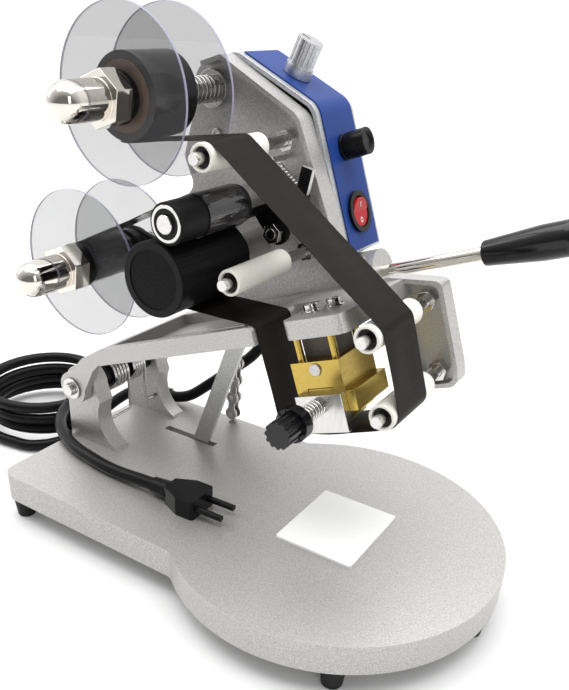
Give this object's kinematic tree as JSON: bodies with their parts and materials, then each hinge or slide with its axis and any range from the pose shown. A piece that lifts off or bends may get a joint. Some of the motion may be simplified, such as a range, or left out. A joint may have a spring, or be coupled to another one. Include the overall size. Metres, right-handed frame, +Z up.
{
  "type": "hot foil date coder",
  "caption": "Desk hot foil coder: a hand lever swings a heated type head, fed with foil from two open reels, down onto a round platform with a pad.",
  "frame": {"origin": "centre of the machine's footprint on the table, measured without the free power cord", "axes": "+X from the pivot towards the round platform, +Y from the operator's side to the electronics housing, +Z up"},
  "size_m": [0.4207, 0.2, 0.2868],
  "materials": {
    "aluminium": "turned aluminium",
    "black_plastic": "black plastic",
    "black_rubber": "matt black rubber",
    "blue_panel": "blue control panel, satin",
    "brass": "machined brass",
    "clear_acrylic": "clear acrylic with violet edges",
    "cord_jacket": "black cord jacket",
    "green_board": "green circuit board",
    "housing_grey": "silver grey painted sheet",
    "ivory_nylon": "ivory nylon",
    "mica": "heat-proof laminate",
    "nickel": "bright nickel plating",
    "red_plastic": "red plastic",
    "ribbon_film": "dark grey-brown coding foil, glossy",
    "silver_casting": "silver hammered paint, satin",
    "steel": "plain steel",
    "white_pad": "white silicone pad"
  },
  "bodies": {
    "stand": {"base_casting": "silver_casting", "print_pad": "white_pad", "rubber_feet": "black_rubber", "foot_screws": "steel", "pivot_shaft": "steel", "torsion_springs": "steel", "spring_sleeve": "black_plastic", "chain_anchor": "steel", "cord_clip": "steel", "power_cord": "cord_jacket", "power_coil": "cord_jacket", "power_plug": "cord_jacket"},
    "arm": {"arm_casting": "silver_casting", "limit_bar": "steel", "arm_screws": "steel", "handle_rod": "nickel", "handle_grip": "black_rubber", "electronics_housing": "housing_grey", "housing_cover": "housing_grey", "cover_screws": "steel", "control_panel": "blue_panel", "circuit_board": "green_board", "fuse_holder": "black_plastic", "switch_body": "black_plastic", "heat_insulator": "mica", "heater_block": "brass", "heater_cartridge": "steel", "reel_spindles": "steel", "reel_springs": "steel", "cap_nuts": "nickel", "roller_axles": "steel", "lever_spring": "steel", "drive_belt": "black_rubber", "ribbon": "ribbon_film", "cable_gland": "black_plastic", "power_lead": "cord_jacket"},
    "chain": {"feed_chain": "steel"},
    "supply_reel": {"supply_discs": "clear_acrylic", "supply_hub": "black_plastic", "supply_roll": "ribbon_film"},
    "takeup_reel": {"takeup_discs": "clear_acrylic", "takeup_hub": "black_plastic", "takeup_roll": "ribbon_film"},
    "drive": {"drive_roller": "black_rubber", "feed_sprocket": "steel"},
    "lever": {"pinch_lever": "steel"},
    "pinch": {"pinch_roller": "black_rubber"},
    "guide_1": {"guide_roller_1": "ivory_nylon"},
    "guide_2": {"guide_roller_2": "ivory_nylon"},
    "guide_3": {"guide_roller_3": "ivory_nylon"},
    "guide_4": {"guide_roller_4": "ivory_nylon"},
    "knob": {"temperature_knob": "aluminium"},
    "fuse": {"fuse_cap": "black_plastic"},
    "rocker": {"switch_rocker": "red_plastic"},
    "type_drawer": {"type_holder": "brass", "type_row": "brass", "clamp_jaw": "steel", "clamp_spring": "steel"},
    "clamp": {"clamp_screw": "steel", "clamp_knob": "black_plastic"}
  },
  "joints": [
    {"name": "arm_press", "type": "hinge", "parent": "stand", "child": "arm", "pos_m": [-0.12619, -0.005, 0.073], "axis": [0, 1, 0], "range_deg": [0, 20.3], "stiffness_Nm_per_rad": 12, "springref_deg": -34.38, "deforming": ["torsion_springs", "power_lead"]},
    {"name": "chain_swing", "type": "hinge", "parent": "stand", "child": "chain", "pos_m": [-0.06299, 0.0635, 0.039], "axis": [0, 1, 0], "range_deg": [0, 16.7]},
    {"name": "supply_spin", "type": "hinge", "parent": "arm", "child": "supply_reel", "pos_m": [-0.0721, -0.005, 0.24527], "axis": [0, 1, 0], "continuous": true},
    {"name": "drive_spin", "type": "hinge", "parent": "arm", "child": "drive", "pos_m": [-0.039, -0.005, 0.16528], "axis": [0, 1, 0], "continuous": true},
    {"name": "takeup_spin", "type": "hinge", "parent": "arm", "child": "takeup_reel", "pos_m": [-0.11031, -0.005, 0.15543], "axis": [0, 1, 0], "continuous": true},
    {"name": "lever_open", "type": "hinge", "parent": "arm", "child": "lever", "pos_m": [-0.0154, -0.005, 0.17817], "axis": [0, 1, 0], "range_deg": [0, 8], "stiffness_Nm_per_rad": 2, "springref_deg": -22.92, "deforming": ["lever_spring", "ribbon"]},
    {"name": "pinch_spin", "type": "hinge", "parent": "lever", "child": "pinch", "pos_m": [-0.02926, -0.005, 0.19456], "axis": [0, 1, 0], "continuous": true},
    {"name": "guide_1_spin", "type": "hinge", "parent": "arm", "child": "guide_1", "pos_m": [-0.02184, -0.005, 0.22324], "axis": [0, 1, 0], "continuous": true},
    {"name": "guide_2_spin", "type": "hinge", "parent": "arm", "child": "guide_2", "pos_m": [-0.00473, -0.005, 0.16634], "axis": [0, 1, 0], "continuous": true},
    {"name": "guide_3_spin", "type": "hinge", "parent": "arm", "child": "guide_3", "pos_m": [0.07304, -0.005, 0.15555], "axis": [0, 1, 0], "continuous": true},
    {"name": "guide_4_spin", "type": "hinge", "parent": "arm", "child": "guide_4", "pos_m": [0.08527, -0.005, 0.11902], "axis": [0, 1, 0], "continuous": true},
    {"name": "knob_turn", "type": "hinge", "parent": "arm", "child": "knob", "pos_m": [-0.03427, 0.07825, 0.25254], "axis": [0.4179, 0, 0.9085], "range_deg": [-150, 150]},
    {"name": "fuse_turn", "type": "hinge", "parent": "arm", "child": "fuse", "pos_m": [0.00159, 0.07825, 0.21985], "axis": [0.9379, 0, 0.3469], "range_deg": [0, 90]},
    {"name": "switch_rock", "type": "hinge", "parent": "arm", "child": "rocker", "pos_m": [0.01153, 0.07825, 0.18579], "axis": [0, 1, 0], "range_deg": [-16, 0]},
    {"name": "type_slide", "type": "slide", "parent": "arm", "child": "type_drawer", "axis": [0, -1, 0], "range_m": [0, 0.04]},
    {"name": "clamp_turn", "type": "hinge", "parent": "type_drawer", "child": "clamp", "pos_m": [0.05237, -0.035, 0.11607], "axis": [0, -1, 0], "range_deg": [0, 360]}
  ],
  "couplings": [
    {"joint": "chain_swing", "follows": "arm_press", "ratio": 0.82},
    {"joint": "takeup_spin", "follows": "drive_spin", "ratio": -0.96},
    {"joint": "pinch_spin", "follows": "drive_spin", "ratio": -1.893}
  ]
}
